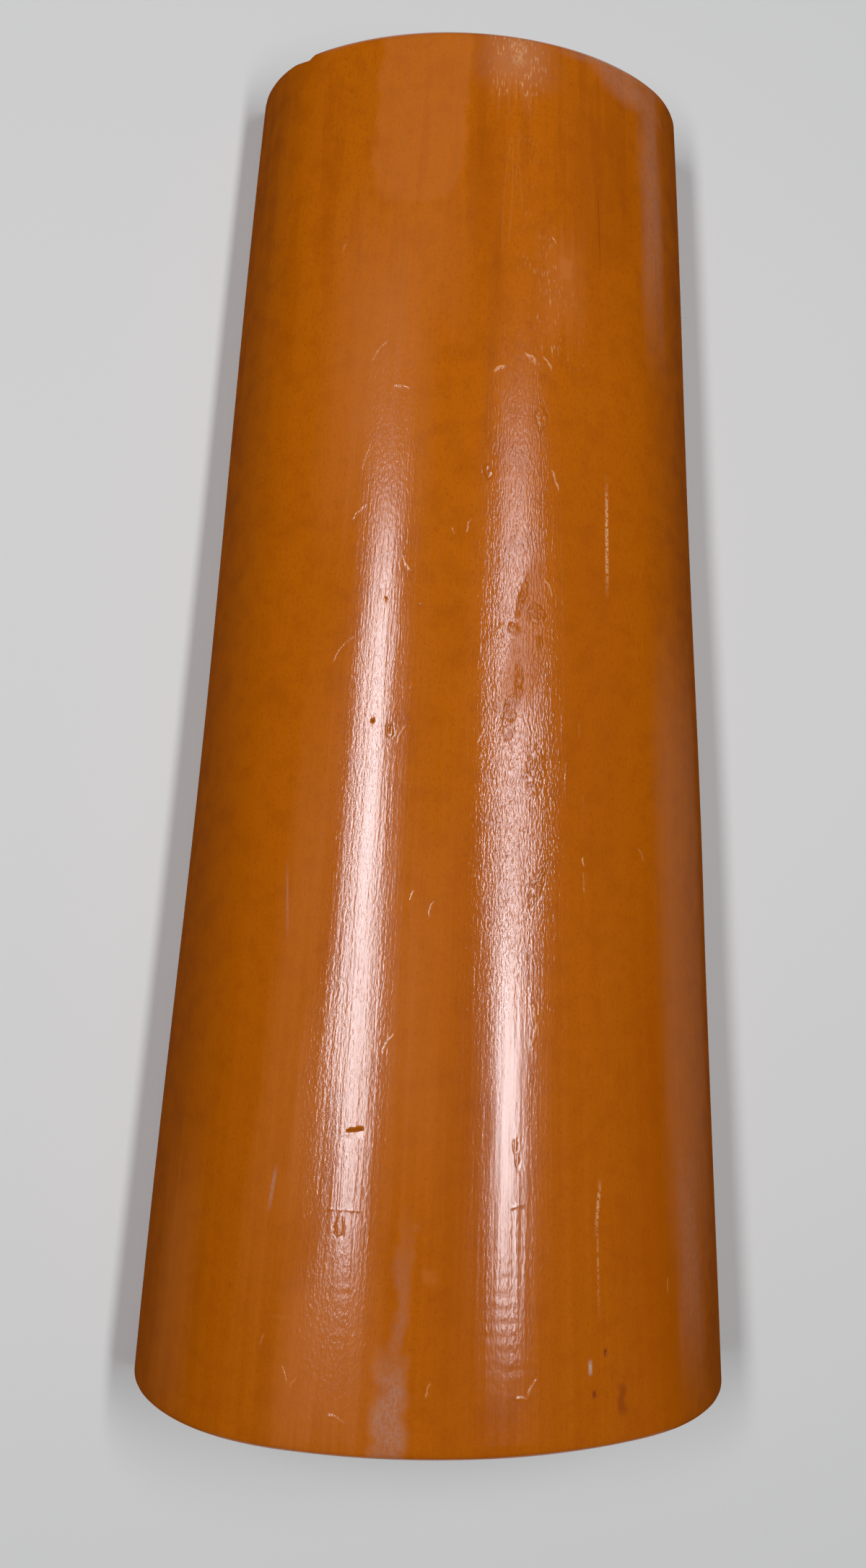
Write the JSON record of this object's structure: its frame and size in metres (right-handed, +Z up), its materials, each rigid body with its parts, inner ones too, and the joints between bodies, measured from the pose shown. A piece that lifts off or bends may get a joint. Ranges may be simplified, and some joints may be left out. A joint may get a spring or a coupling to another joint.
{
  "type": "barrel roof tile",
  "caption": "Tapered half-barrel clay roof tile with a satin brushed coat, which lies arched on its two long feet and laps over the next tile to shed rain.",
  "frame": {"origin": "middle of the tile's footprint on the floor, under the crown", "axes": "+Y along the tile towards its narrow end, +X across it to the right, +Z up through the crown"},
  "size_m": [0.2046, 0.45, 0.0874],
  "materials": {
    "fired_clay": "satin"
  },
  "bodies": {
    "root": {"barrel_tile": "fired_clay"}
  },
  "joints": []
}
